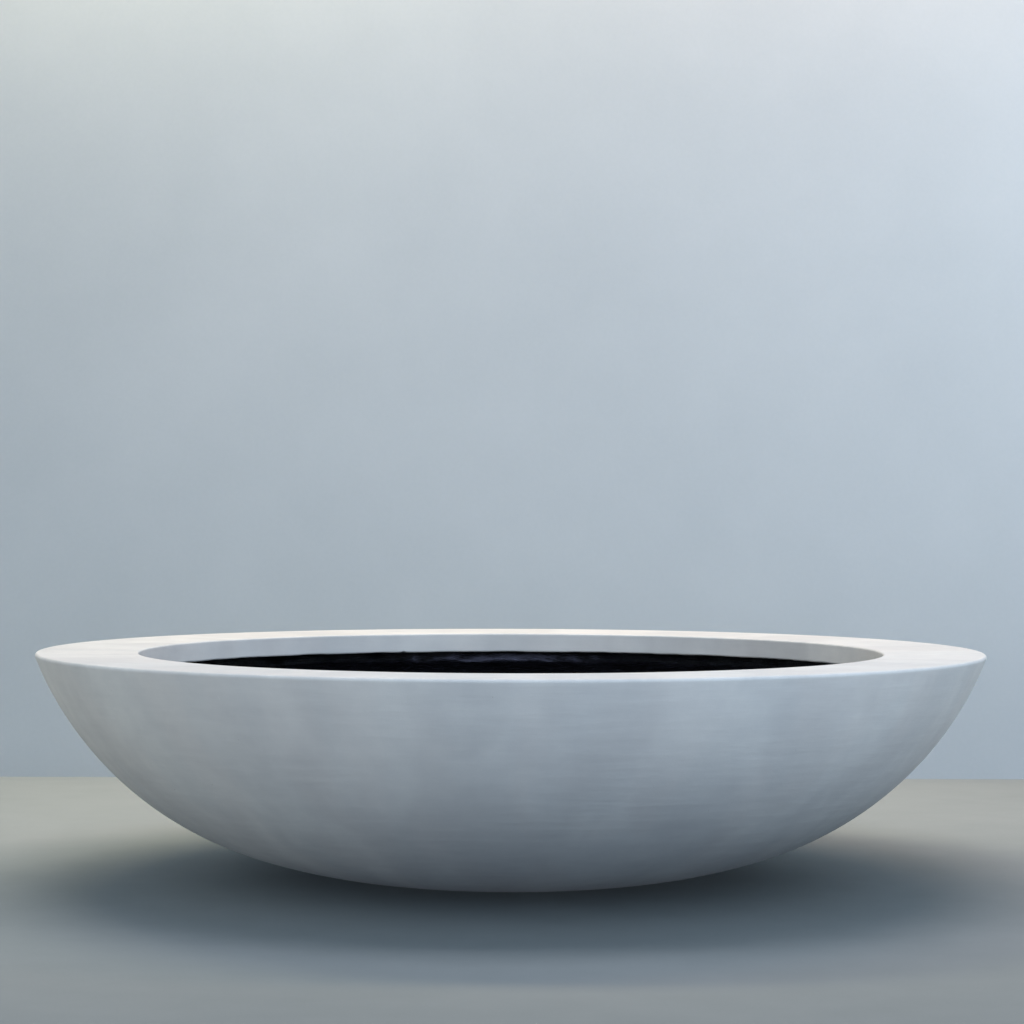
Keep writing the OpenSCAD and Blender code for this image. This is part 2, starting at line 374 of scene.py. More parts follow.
# %% Helpers that start a material and give it dust and relief
def new_finish(name, **plain):
    """A material with one shader. plain sets the shader's sockets that are the same everywhere."""
    material = bpy.data.materials.new(name)
    material.use_nodes = True
    tree = material.node_tree
    skin = tree.nodes["Principled BSDF"].inputs
    for label, value in spoken(plain).items():
        skin[label].default_value = value
    print("material:", name)
    return material, skin, add(tree, "ShaderNodeTexCoord")["Object"]


def dust_on(place, patch_size):
    """Dust that has settled where the surface faces up."""
    facing = add(place.tree, "ShaderNodeTexCoord")["Normal"]
    return use(dust, Vector=place, Normal=facing, Patch_Size=patch_size)["Mask"]


def relief(height, depth, **below):
    """Turns a height into a normal. Normal=... gives a coarser relief that it lies on."""
    return add(height.tree, "ShaderNodeBump", {"Height": height, "Distance": depth} | below)["Normal"]


# %% [markdown]
# ### Cast concrete
#
# The face is a fine cement paste rubbed smooth. It has soft clouds a hand wide, and broad, faint
# patches, some darker and some warmer, where the wet mix dried unevenly. Finer marks come on top: few
# pores, whose colour is darkened with painted shade, a few light ticks, and faint strokes from rubbing
# it down round the bowl. It is a little paler along the arrises, and the black coating has smeared a little
# under the lip.

# %% Cast concrete
concrete, skin, place = new_finish("cast_concrete", Specular_IOR_Level=0.35)
paste = use(clouds, Vector=place, Cloud_Size=0.16, Pale=(0.71, 0.715, 0.71, 1), Dark=(0.60, 0.61, 0.62, 1))
runs = use(strokes, Vector=place, Strokes_Round=5.5, Stroke_Width=0.26, Fineness=1.5, Bend=0.5)["Value"]
warmth = use(strokes, Vector=place, Strokes_Round=5.0, Stroke_Width=0.4, Fineness=1.0, Bend=0.4)["Value"]
rubbed = use(strokes, Vector=place, Strokes_Round=5.0, Stroke_Width=0.02)["Value"]
pores = use(specks, Vector=place, Spacing=0.034, Radius=0.0009)["Mask"]
pinholes = use(specks, Vector=place, Spacing=0.009, Radius=0.0003)["Mask"]
hole_relief_and_shade = calc("MAXIMUM", pores, pinholes * 0.5)
tick_one = use(ticks, Vector=place, Spacing=0.02, Turn=(0.4, 0.9, 0.2))["Mask"]
tick_two = use(ticks, Vector=place, Spacing=0.024, Turn=(1.3, -0.3, 1.9))["Mask"]
arris = use(wear, Vector=place, Edge_Radius=bowl_r, Edge_Height=rim_top, Reach=2 * edge_r)["Mask"]
lip_arris = use(wear, Vector=place, Edge_Radius=open_r, Edge_Height=rim_top - rim_fall,
                Reach=2 * lip_edge_r)["Mask"]
smear = use(wear, Vector=place, Edge_Radius=lip_back_r, Edge_Height=lip_z, Reach=0.9 * lip_t)["Mask"]

colour = tint(ramp(runs, 0.36, 0.62, 0.32, 0.0), paste["Color"], (0.47, 0.475, 0.49, 1))
colour = tint(ramp(warmth, 0.42, 0.6, 0.0, 0.1), colour, (0.78, 0.70, 0.66, 1))
colour = tint(ramp(rubbed, 0.35, 0.75, 0.0, 0.16, smooth=False), colour, (0.80, 0.80, 0.79, 1))
# Pores and pinholes are darkened in colour: painted shade in holes that exist only as a bump.
colour = tint(hole_relief_and_shade * 0.55, colour, (0.22, 0.22, 0.22, 1))
colour = tint(calc("MAXIMUM", tick_one, tick_two) * 0.6, colour, (0.86, 0.86, 0.84, 1))
colour = tint(calc("MAXIMUM", arris, lip_arris) * 0.25, colour, (0.80, 0.80, 0.78, 1))
colour = tint(smear, colour, (0.03, 0.03, 0.033, 1))
fine = relief(noise(place, 700.0, Detail=4.0), 0.00012, Normal=relief(rubbed, 0.0006))
send(skin, Base_Color=colour, Roughness=ramp(paste["Value"], 0.0, 1.0, 0.78, 0.6, smooth=False),
     Normal=relief(0.0 - hole_relief_and_shade, 0.0006, Normal=fine))

# %% [markdown]
# ### Black coating, plastic, rubber, steel and mortar
#
# The coating is brushed over a coarse inner face that shows its fibres. Its gloss varies along the
# brush strokes, and it is duller where dust has settled. The drain is moulded plastic with a fine grain. The
# rubber is dull, with a grey bloom. The strainer is brushed steel.

# %% Black coating
coating, skin, place = new_finish("brushed_black_coat", Specular_IOR_Level=0.35, Coat_Weight=0.3,
                                  Coat_Roughness=0.2)
brushed = use(strokes, Vector=place, Strokes_Round=7.0, Stroke_Width=0.006)["Value"]
mat_threads = use(fibres, Vector=place, Fibre_Width=0.0016, Fibre_Length=0.05)["Value"]
thickness = use(clouds, Vector=place, Cloud_Size=0.09, Pale=(0.0075, 0.0078, 0.0092, 1),
                Dark=(0.0030, 0.0029, 0.0033, 1))
settled = dust_on(place, 0.07)
send(skin, Base_Color=tint(settled * 0.08, thickness["Color"], (0.30, 0.29, 0.27, 1)),
     Roughness=ramp(brushed, 0.3, 0.7, 0.2, 0.36, smooth=False) + settled * 0.3,
     Normal=relief(brushed, 0.0007, Normal=relief(mat_threads, 0.0009)))

# %% Moulded black plastic
plastic, skin, place = new_finish("moulded_plastic", Specular_IOR_Level=0.45)
moulded = use(clouds, Vector=place, Cloud_Size=0.012, Pale=(0.030, 0.031, 0.034, 1),
              Dark=(0.018, 0.018, 0.020, 1))
scuffs = use(ticks, Vector=place, Spacing=0.004, Width=0.00016, Stretch=18.0)["Mask"]
settled = dust_on(place, 0.01)
dusty = tint(settled * 0.2, moulded["Color"], (0.30, 0.29, 0.27, 1))
send(skin, Base_Color=tint(scuffs * 0.5, dusty, (0.12, 0.12, 0.12, 1)),
     Roughness=ramp(moulded["Value"], 0.0, 1.0, 0.36, 0.5, smooth=False),
     Normal=relief(noise(place, 2600.0, Detail=2.0), 0.00006))

# %% Rubber
rubber, skin, place = new_finish("dull_rubber", Specular_IOR_Level=0.35)
bloom = use(clouds, Vector=place, Cloud_Size=0.018, Pale=(0.045, 0.044, 0.043, 1),
            Dark=(0.020, 0.020, 0.021, 1))
settled = dust_on(place, 0.008)
send(skin, Base_Color=tint(settled * 0.28, bloom["Color"], (0.26, 0.25, 0.23, 1)),
     Roughness=ramp(bloom["Value"], 0.0, 1.0, 0.62, 0.82, smooth=False),
     Normal=relief(noise(place, 1800.0, Detail=3.0), 0.0001))

# %% Brushed steel and mortar
steel, skin, place = new_finish("brushed_steel", Metallic=1.0)
turning = use(strokes, Vector=place, Strokes_Round=1.5, Stroke_Width=0.0004)["Value"]
spots = use(clouds, Vector=place, Cloud_Size=0.006, Pale=(0.62, 0.62, 0.63, 1), Dark=(0.44, 0.43, 0.42, 1))
send(skin, Base_Color=spots["Color"], Roughness=ramp(turning, 0.3, 0.7, 0.22, 0.42, smooth=False),
     Normal=relief(turning, 0.00005))

mortar, skin, place = new_finish("adhesive_mortar", Specular_IOR_Level=0.3)
bed = use(clouds, Vector=place, Cloud_Size=0.03, Pale=(0.46, 0.45, 0.43, 1), Dark=(0.33, 0.33, 0.32, 1))
sand = use(specks, Vector=place, Spacing=0.004, Radius=0.001)["Mask"]
send(skin, Base_Color=tint(sand * 0.5, bed["Color"], (0.2, 0.19, 0.17, 1)),
     Roughness=ramp(bed["Value"], 0.0, 1.0, 0.95, 0.8, smooth=False), Normal=relief(sand, 0.0006))

# %% [markdown]
# ## Outlines
#
# A turned piece is known by its outline: a closed line of points, each with a radius and a height.
# The wall is two arcs that meet without a corner. `eased` takes the sharpness off corners, as every
# mould and every hand does, and `spaced` adds points along straight stretches.

# %% Arcs and lines of an outline
SHARP_TURN = math.radians(20)
MOST_OF_SIDE = 0.45  # the share of a side that one eased corner may take


def corners(*pairs):
    """Points of an outline, from pairs of radius and height."""
    return [Vector(pair) for pair in pairs]


def direction(steepness):
    """The way out from the wall at a steepness in degrees: 0 is level and 90 upright."""
    return Vector((math.sin(math.radians(steepness)), -math.cos(math.radians(steepness))))


def arc(centre, r, start, stop, steps):
    """Points along an arc, from one steepness to another."""
    return [centre + r * direction(start + (stop - start) * i / steps) for i in range(steps + 1)]


def bend(start, corner, stop, steps):
    """A curve from start to stop that heads for the corner at both ends."""
    shares = [i / steps for i in range(steps + 1)]
    return [start * (1 - t) ** 2 + corner * 2 * t * (1 - t) + stop * t ** 2 for t in shares]


def eased(points, cut, steps=3, closed=True):
    """Takes each sharp corner off with a small curve that starts and ends at most a cut away from it."""
    count = len(points)
    line = []
    for i, corner in enumerate(points):
        before, after = points[i - 1] - corner, points[(i + 1) % count] - corner
        at_end = not closed and i in (0, count - 1)
        if at_end or (-before).angle(after) < SHARP_TURN:
            line.append(corner)
            continue
        start = corner + before.normalized() * min(cut, before.length * MOST_OF_SIDE)
        stop = corner + after.normalized() * min(cut, after.length * MOST_OF_SIDE)
        line += bend(start, corner, stop, steps)
    return line


def spaced(points, step, closed=True, hold=0.8 * MM):
    """Adds points along long stretches, with one close to each end that keeps the shading crisp."""
    count = len(points)
    line = []
    for i in range(count if closed else count - 1):
        here, there = points[i], points[(i + 1) % count]
        length = (there - here).length
        line.append(here)
        if length > step:
            way = (there - here) / length
            inner = max(1, round((length - 2 * hold) / step))
            line += [here + way * (hold + (length - 2 * hold) * k / inner) for k in range(inner)]
            line.append(there - way * hold)
    return line if closed else line + [points[-1]]


print("outline helpers ready")

# %% The wall's two arcs
edge_c = Vector((bowl_r - edge_r, rim_top - edge_r))
wall_end = edge_c + edge_r * direction(wall_angle)
foot_end = Vector((foot_r, foot_z))
span = wall_end - foot_end
chord_angle = math.degrees(math.atan2(span.y, span.x))
meet_low = max(2 * chord_angle - wall_angle, foot_angle)
meet_high = min(2 * chord_angle - foot_angle, wall_angle)
meet_angle = meet_low + belly * (meet_high - meet_low)
low_way = direction(meet_angle) - direction(foot_angle)
high_way = direction(wall_angle) - direction(meet_angle)
low_r, high_r = Matrix(((low_way.x, high_way.x), (low_way.y, high_way.y))).inverted() @ span
low_c = foot_end - low_r * direction(foot_angle)
high_c = wall_end - high_r * direction(wall_angle)


def steepness_at(z, inset, centre, r):
    """Steepness of an arc of the wall, moved in by an inset, at a height."""
    return math.degrees(math.acos((centre.y - z) / (r - inset)))


def inner_wall(inset, z_low, z_high, low_steps, high_steps):
    """The inner face of the wall between two heights."""
    low = arc(low_c, low_r - inset, steepness_at(z_low, inset, low_c, low_r), meet_angle, low_steps)
    high = arc(high_c, high_r - inset, meet_angle, steepness_at(z_high, inset, high_c, high_r), high_steps)
    return low + high[1:]


joint_angle = steepness_at(joint_z, 0, high_c, high_r)
seat_out_r = high_c.x + math.sqrt(high_r ** 2 - (high_c.y - joint_z) ** 2)
seat_in_r = seat_out_r - seat_w
print("arcs meet at", round(meet_angle, 2), "degrees; radii", round(low_r, 4), round(high_r, 4))

# %% [markdown]
# ## One tree that turns an outline
#
# A lathe or a turning mould makes a whole piece from one outline, so Geometry Nodes do the same: the
# outline is swept along a circle with Curve to Mesh. The tree is a group, because the shell, the rim,
# the coating and the drain pieces all need it. A Spin modifier would also do, but its seam has to be
# merged afterwards.

# %% Turn an outline round the axis
PATH_R = 1.0
turned, given, result = new_group("turn_outline", FOR_SHAPES, {"Geometry": SHAPE}, Outline=SHAPE,
                                  Steps_Round=96)
path = add(turned, "GeometryNodeCurvePrimitiveCircle", {"Resolution": given["Steps Round"], "Radius": PATH_R})
line = add(turned, "GeometryNodeMeshToCurve", {"Mesh": given["Outline"]})["Curve"]
x, y, z = split(add(turned, "GeometryNodeInputPosition")[0])
beside_path = join(x - PATH_R, z * -1.0)
section = add(turned, "GeometryNodeSetPosition", {"Geometry": line, "Position": beside_path})
swept = add(turned, "GeometryNodeCurveToMesh", {"Curve": path["Curve"], "Profile Curve": section["Geometry"]})
send(result, Geometry=swept["Mesh"])

# %% Helpers for the trees of the pieces
def turned_tree(name, steps, **more):
    """A tree that turns an outline. more names its further inputs."""
    given, result = new_group(name, FOR_SHAPES, {"Geometry": SHAPE}, Outline=SHAPE, Steps_Round=steps, **more,
                              Material=FINISH)[1:]
    body = use(turned, Outline=given["Outline"], Steps_Round=given["Steps Round"])["Geometry"]
    return given, result, body


def place_in(tree):
    """The place of every point that a tree works on."""
    return add(tree, "GeometryNodeInputPosition")[0]


def end_of_tree(body, given, result):
    """Every tree ends in real geometry with its material."""
    real = add(body.tree, "GeometryNodeRealizeInstances", {"Geometry": body})["Geometry"]
    smooth = add(body.tree, "GeometryNodeSetShadeSmooth", {"Geometry": real})["Geometry"]
    wires = {"Geometry": smooth, "Material": given["Material"]}
    send(result, Geometry=add(body.tree, "GeometryNodeSetMaterial", wires)["Geometry"])


def shifted(body, step):
    """Moves every point of a body by a step."""
    return add(body.tree, "GeometryNodeSetPosition", {"Geometry": body, "Offset": step})["Geometry"]


def inwards(place, depth):
    """A step of some depth from a place straight towards the axis."""
    return vector("SCALE", vector("NORMALIZE", vector("MULTIPLY", place, (-1.0, -1.0, 0.0))), Scale=depth)


def marked(body, name):
    """The marks that the outline of a body carries under a name."""
    return add(body.tree, "GeometryNodeInputNamedAttribute", {"Name": name}, data_type="FLOAT")["Attribute"]


def cut_away(body, cutter, places):
    """Sets the cutter on every place, and takes them all out of the body in one Mesh Boolean."""
    wires = {"Points": places, "Instance": cutter}
    copies = add(body.tree, "GeometryNodeInstanceOnPoints", wires)["Instances"]
    real = add(body.tree, "GeometryNodeRealizeInstances", {"Geometry": copies})["Geometry"]
    return add(body.tree, "GeometryNodeMeshBoolean", {"Mesh 1": body, "Mesh 2": real},
               operation="DIFFERENCE", solver="EXACT")["Mesh"]


# %% Run a tree and keep its result as a plain mesh
SMOOTH_BELOW = math.radians(32)


def run_tree(name, points, tree_name, marks=None, **settings):
    """Runs a tree on an outline, and returns the result as a mesh. marks gives a value to each point."""
    outline = bpy.data.meshes.new(name + "_outline")
    count = len(points)
    outline.from_pydata([(p.x, 0, p.y) for p in points], [(i, (i + 1) % count) for i in range(count)], [])
    for label, values in (marks or {}).items():
        outline.attributes.new(label, "FLOAT", "POINT").data.foreach_set("value", values)
    holder = placed(name + "_rule", outline)
    modifier = holder.modifiers.new(tree_name, "NODES")
    modifier.node_group = bpy.data.node_groups[tree_name]
    inputs = {item.name: item for item in modifier.node_group.interface.items_tree if item.in_out == "INPUT"}
    for label, value in spoken(settings).items():
        modifier[inputs[label].identifier] = value
    return kept_mesh(name, holder)


def kept_mesh(name, holder):
    """The mesh of an object with its modifiers run. The object itself goes."""
    graph = bpy.context.evaluated_depsgraph_get()
    mesh = bpy.data.meshes.new_from_object(holder.evaluated_get(graph), preserve_all_data_layers=True,
                                           depsgraph=graph)
    bpy.data.objects.remove(holder)
    mesh.name = name
    return mesh


def finished(name, mesh, body, stands_for, material=None):
    """Makes a piece of a mesh, and tells the frame what it rides on and what it stands for."""
    if material:
        mesh.materials.clear()
        mesh.materials.append(material)
    shape = bmesh.new()
    shape.from_mesh(mesh)
    volume = shape.calc_volume(signed=True)
    if volume < 0:
        bmesh.ops.reverse_faces(shape, faces=shape.faces)
        shape.to_mesh(mesh)
    open_edges = sum(1 for edge in shape.edges if len(edge.link_faces) != 2)
    shape.free()
    mesh.shade_smooth()
    mesh.set_sharp_from_angle(angle=SMOOTH_BELOW)
    piece = placed(name, mesh)
    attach(piece, body)
    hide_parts(stands_for)
    print(f"{name}: {len(mesh.polygons)} faces, {abs(volume) * 1e6:.1f} cm3, {open_edges} open edges")


print("tree runner ready")

# %% [markdown]
# ## The cast bowl
#
# The shell is one skin of concrete, sprayed or packed into a mould. Its outline holds the foot, the
# two arcs of the wall, a seat at the top with a groove for the hoop, and the stepped hole for the
# drain. The tree turns it, gives the outside the faint ripple of a rubbed surface, and sinks the
# pockets of the pads, which repeat round the axis, with one Mesh Boolean.

# %% Tree of the cast bowl
CUTTER_SIDES = 96


def ripple(body, given):
    """Pulls the surface in towards the axis by a slow noise, so the outside never grows."""
    place = place_in(body.tree)
    wave = noise(place, 1.0 / given["Ripple Size"], Detail=1.0)
    return shifted(body, inwards(place, wave * given["Ripple Depth"]))


given, result, body = turned_tree("cast_bowl", 360, Ripple_Depth=0.0004, Ripple_Size=0.12, Pad_Count=4,
                                  Pad_Ring_Radius=0.2, Pocket_Radius=0.03, Pocket_Top=0.008)
wires = {"Vertices": given["Pad Count"], "Radius": given["Pad Ring Radius"]}
ring = add(body.tree, "GeometryNodeMeshCircle", wires)["Mesh"]
wires = {"Geometry": ring, "Rotation": join(z=math.pi / given["Pad Count"])}
ring = add(body.tree, "GeometryNodeTransform", wires)["Geometry"]
wires = {"Vertices": CUTTER_SIDES, "Radius": given["Pocket Radius"], "Depth": given["Pocket Top"] * 2.0}
cutter = add(body.tree, "GeometryNodeMeshCylinder", wires)["Mesh"]
end_of_tree(cut_away(ripple(body, given), cutter, ring), given, result)

# %% Outline and mesh of the cast bowl
PAD_NODES = sorted(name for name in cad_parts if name.startswith("foot_pad_"))
POCKET_PLAY = 0.5 * MM
RIPPLE = {"Ripple_Depth": 0.4 * MM, "Ripple_Size": 0.12}
pad_low, pad_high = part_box(PAD_NODES[0])
pad_r = (pad_high.x - pad_low.x) / 2
pad_centre = (pad_low + pad_high) / 2
ramp_z = joint_z - seat_face - seat_ramp
groove_r = seat_out_r - seat_w / 2
groove_in_r, groove_out_r = groove_r - groove_w / 2, groove_r + groove_w / 2

outside = arc(low_c, low_r, foot_angle, meet_angle, steps=22)
outside += arc(high_c, high_r, meet_angle, joint_angle, steps=56)[1:]
seat = corners((groove_out_r, joint_z), (groove_out_r, joint_z - groove_depth),
               (groove_in_r, joint_z - groove_depth), (groove_in_r, joint_z), (seat_in_r, joint_z),
               (seat_in_r, joint_z - seat_face))
inside = inner_wall(wall_t, floor_z, ramp_z, low_steps=10, high_steps=40)[::-1]
drain_step = eased(corners((rebate_r, floor_z), (rebate_r, seal_low.z), (sleeve_hole_r, seal_low.z),
                           (sleeve_hole_r, recess_z), (recess_r, recess_z), (recess_r, foot_z)),
                   cut=1.2 * MM, closed=False)
bowl_mesh = run_tree("cast_bowl", spaced(outside + seat + inside + drain_step, step=14 * MM), "cast_bowl",
                     Steps_Round=360, **RIPPLE, Pad_Count=len(PAD_NODES),
                     Pad_Ring_Radius=math.hypot(pad_centre.x, pad_centre.y),
                     Pocket_Radius=pad_r + POCKET_PLAY, Pocket_Top=pad_high.z, Material=concrete)
finished("cast_bowl", bowl_mesh, "planter", "bowl_shell")

# %% [markdown]
# ## The rim with its lip
#
# The rim is a flat ring with a rounded outer edge. At the opening a lip turns down, and its lower
# edge is trimmed by hand, so it wanders a little and has one small chip. The top falls 1.5 mm from the
# outer edge to the opening, so that rain runs inwards and leaves no marks on the outside. The tree
# turns the outline and then lifts the points of that lower edge, which the outline marks with an
# attribute.

# %% Tree of the rim
given, result, body = turned_tree("rim_with_lip", 720, Ripple_Depth=0.0004, Ripple_Size=0.12,
                                  Trim_Waver=0.001, Chip_Angle=1.9, Chip_Width=0.01, Chip_Depth=0.002)
place = place_in(body.tree)
waver = ramp(noise(place, 14.0, Detail=4.0, Roughness=0.6), 0.35, 0.7) * given["Trim Waver"]
chip_place = join(calc("COSINE", given["Chip Angle"]) * open_r, calc("SINE", given["Chip Angle"]) * open_r,
                  lip_z)
chip = ramp(vector("DISTANCE", place, chip_place), 0.0, given["Chip Width"], 1.0, 0.0)
lift = (waver + chip * given["Chip Depth"]) * marked(body, "trim")
end_of_tree(shifted(ripple(body, given), join(z=lift)), given, result)

# %% Outline and mesh of the rim
TRIM_REACH = 8 * MM
rim_edge = arc(high_c, high_r, joint_angle, wall_angle, steps=3)
rim_edge += arc(edge_c, edge_r, wall_angle, 180, steps=14)[1:]
lip_top = arc(Vector((open_r + lip_edge_r, rim_top - rim_fall - lip_edge_r)), lip_edge_r, 180, 270, steps=8)
lip_foot = arc(Vector((open_r + lip_edge_r, lip_z + lip_edge_r)), lip_edge_r, 270, 360, steps=8)
bond_in_r, bond_out_r = seat_in_r + bond_margin, seat_out_r - bond_margin
lip_back = corners((lip_back_r, lip_z), (lip_back_r, joint_z - haunch), (lip_back_r + haunch, joint_z),
                   (bond_in_r, joint_z), (bond_in_r, joint_z + bond_t), (bond_out_r, joint_z + bond_t),
                   (bond_out_r, joint_z))
rim_outline = spaced(rim_edge + lip_top + lip_foot + lip_back, step=12 * MM)
trim_marks = [max(0.0, 1 - (p.y - lip_z) / TRIM_REACH) if p.x < lip_back_r + MM else 0.0 for p in rim_outline]
rim_mesh = run_tree("rim_with_lip", rim_outline, "rim_with_lip", {"trim": trim_marks}, Steps_Round=720,
                    **RIPPLE, Trim_Waver=1.0 * MM, Chip_Angle=math.radians(109), Chip_Width=7 * MM,
                    Chip_Depth=2.4 * MM, Material=concrete)
finished("rim_with_lip", rim_mesh, "planter", "rim_ring")

# %% [markdown]
# ## The black lining
#
# The inside is coated up to the underside of the rim and down the back of the lip. The coat lies on
# a rough inner face, so it has real lumps: the tree pushes the free side of the film out along its
# normals with noise, and leaves the side that is bonded to the concrete alone. The brush leaves a
# soft turn where the floor meets the wall. Near the drain the lumps fade out, because the coat is
# worked flat against the flange.

# %% Tree of the lining
given, result, body = turned_tree("black_lining", 480, Lump_Height=0.002, Lump_Size=0.04, Flat_Radius=0.05)
place = place_in(body.tree)
lumps = noise(place, 1.0 / given["Lump Size"], Detail=2.0, Roughness=0.5, Distortion=0.8)
from_axis = vector("LENGTH", vector("MULTIPLY", place, (1.0, 1.0, 0.0)))
fade = ramp(from_axis, given["Flat Radius"], given["Flat Radius"] * 2.0)
height = ramp(lumps, 0.3, 0.75, smooth=False) * fade * (marked(body, "free") * given["Lump Height"])
normal = add(body.tree, "GeometryNodeInputNormal")[0]
end_of_tree(shifted(body, vector("SCALE", normal, Scale=height)), given, result)

# %% Outline and mesh of the lining
SOFT_TURN = 50 * MM


def lining_path(film, low_steps, high_steps):
    """The line of the film's face, from the drain across the floor and up to the lower end of the lip."""
    leg = haunch + film * math.sqrt(2)
    wall = inner_wall(wall_t + film, floor_z + film, ramp_z - film, low_steps, high_steps)
    if film > 0:
        end = next(i for i, p in enumerate(wall) if (p - wall[0]).length > SOFT_TURN)
        wall = bend(wall[0] - Vector((SOFT_TURN, 0)), wall[0], wall[end], steps=14) + wall[end + 1:]
    under_rim = corners((seat_in_r - film, joint_z - seat_face - film / 2),
                        (seat_in_r - film, joint_z - film), (lip_back_r + leg - film, joint_z - film),
                        (lip_back_r + film, joint_z - leg + film), (lip_back_r + film, lip_z))
    return corners((rebate_r, floor_z + film)) + wall + under_rim


bonded = lining_path(0, low_steps=4, high_steps=16)[::-1]
face = eased(lining_path(film_t, low_steps=24, high_steps=60), cut=5 * MM, closed=False)
face = spaced(face, step=8 * MM, closed=False)
free_marks = [0.0] * (len(bonded) + 1) + [1.0] * (len(face) - 2) + [0.0]
lining_mesh = run_tree("black_lining", bonded + face, "black_lining", {"free": free_marks}, Steps_Round=440,
                       Lump_Height=2.8 * MM, Lump_Size=0.034, Flat_Radius=45 * MM, Material=coating)
finished("black_lining", lining_mesh, "planter", "waterproof_coating")

# %% [markdown]
# ## Foot pads
#
# Four rubber pads sit in pockets of the foot. Each has a rounded edge and three ring grooves on the
# face that grips the floor. One outline is turned once, and the mesh is copied to each pad's place.

# %% Make the pads
given, result, body = turned_tree("plain_turned_piece", 96)
end_of_tree(body, given, result)

POLE_R = 0.01 * MM
PAD_GROOVES = 3
GROOVE_DEPTH = 1.2 * MM
GROOVE_HALF = 1.4 * MM
GROOVE_FLAT_HALF = 0.8 * MM


def turn_piece(name, points, material):
    """Turns an outline. A solid one starts at a hair's breadth, and its two poles are merged."""
    mesh = run_tree(name, points, "plain_turned_piece", Steps_Round=96, Material=material)
    if points[0].x > POLE_R * 2:
        return mesh

    def near_axis(vert):
        return math.hypot(vert.co.x, vert.co.y) < POLE_R * 2

    shape = bmesh.new()
    shape.from_mesh(mesh)
    inner_faces = [face for face in shape.faces if all(near_axis(vert) for vert in face.verts)]
    bmesh.ops.delete(shape, geom=inner_faces, context="FACES")
    bmesh.ops.remove_doubles(shape, verts=[vert for vert in shape.verts if near_axis(vert)], dist=POLE_R * 4)
    shape.to_mesh(mesh)
    shape.free()
    return mesh


def solid_outline(points, cut):
    """The outline of a solid piece: eased corners between two poles at the heights of its ends."""
    poles = corners((POLE_R, points[0][1]), (POLE_R, points[-1][1]))
    return poles[:1] + eased(corners(*points), cut, closed=False) + poles[1:]


pad_points = []
for i in range(1, PAD_GROOVES + 1):
    r = i * pad_r / (PAD_GROOVES + 1)
    pad_points += [(r - GROOVE_HALF, pad_low.z), (r - GROOVE_FLAT_HALF, pad_low.z + GROOVE_DEPTH),
                   (r + GROOVE_FLAT_HALF, pad_low.z + GROOVE_DEPTH), (r + GROOVE_HALF, pad_low.z)]
pad_points += [(pad_r, pad_low.z), (pad_r, pad_high.z)]
pad_mesh = turn_piece("pad", solid_outline(pad_points, cut=0.9 * MM), rubber)
for name in PAD_NODES:
    low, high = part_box(name)
    mesh = pad_mesh.copy()
    mesh.transform(Matrix.Translation(((low.x + high.x) / 2, (low.y + high.y) / 2, 0)))
    finished(name.replace("foot_pad", "ribbed_pad"), mesh, "planter", name)

# %% [markdown]
# ## The drain
#
# The sleeve is moulded with a flange, a coned mouth that the plug seals in, a ledge for the strainer
# and an outer thread. The thread is real geometry: the tree turns a plain sleeve, then pulls every
# point of its outer side in by a wave that climbs one pitch in each turn.

# %% Tree and mesh of the threaded sleeve
given, result, body = turned_tree("threaded_sleeve", 144, Pitch=0.0023, Thread_Depth=0.001)
place = place_in(body.tree)
x, y, z = split(place)
climb = z / given["Pitch"] - calc("ARCTAN2", y, x) / (2 * math.pi)
wave = calc("PINGPONG", climb, 0.5) * 2.0
depth = wave * given["Thread Depth"] * marked(body, "threaded")
end_of_tree(shifted(body, inwards(place, depth)), given, result)

thread_r = 21 * MM
plug_bore_r = 18 * MM
outlet_r = 15.5 * MM
mouth_depth = 4 * MM
mouth_grow = 3 * MM
THREAD_STEP = 0.3 * MM
THREAD_FADE = 4
thread_low, thread_high = sleeve_low.z + 1.5 * MM, seal_low.z - MM
thread_count = int((thread_high - thread_low) / THREAD_STEP) + 1
thread_points = corners(*((thread_r, thread_low + i * THREAD_STEP) for i in range(thread_count)))
rest_points = eased(corners(
    (thread_r, seal_high.z), (sleeve_high.x, seal_high.z), (sleeve_high.x, sleeve_high.z),
    (plug_bore_r + mouth_grow, sleeve_high.z), (plug_bore_r, sleeve_high.z - mouth_depth),
    (plug_bore_r, strainer_low.z), (outlet_r, strainer_low.z), (outlet_r, sleeve_low.z),
    (thread_r - MM, sleeve_low.z)), cut=0.5 * MM, closed=False)
threaded = [min(1.0, i / THREAD_FADE, (thread_count - 1 - i) / THREAD_FADE) for i in range(thread_count)]
sleeve_mesh = run_tree("drain_sleeve", thread_points + rest_points, "threaded_sleeve",
                       {"threaded": threaded + [0.0] * len(rest_points)}, Steps_Round=144, Pitch=2.309 * MM,
                       Thread_Depth=1.3 * MM, Material=plastic)
finished("drain_sleeve", sleeve_mesh, "planter", "drain_body")

# %% Seal ring, slip washer and back nut
RING_HOLE_R = thread_r + 0.5 * MM


def ring_mesh(name, low, high, cut, material, bulge=0.0):
    """A flat ring between two heights, with eased edges and sides that may bulge."""
    outer_r = high.x - bulge
    line = corners((RING_HOLE_R, low.z), (outer_r, low.z), (outer_r + bulge, (low.z + high.z) / 2),
                   (outer_r, high.z), (RING_HOLE_R, high.z))
    return turn_piece(name, spaced(eased(line, cut), step=8 * MM), material)


seal_mesh = ring_mesh("seal_ring", seal_low, seal_high, cut=0.7 * MM, material=rubber, bulge=0.4 * MM)
finished("seal_ring", seal_mesh, "planter", "drain_seal")
washer_mesh = ring_mesh("slip_washer", washer_low, washer_high, cut=0.5 * MM, material=plastic)
finished("slip_washer", washer_mesh, "planter", "drain_washer")

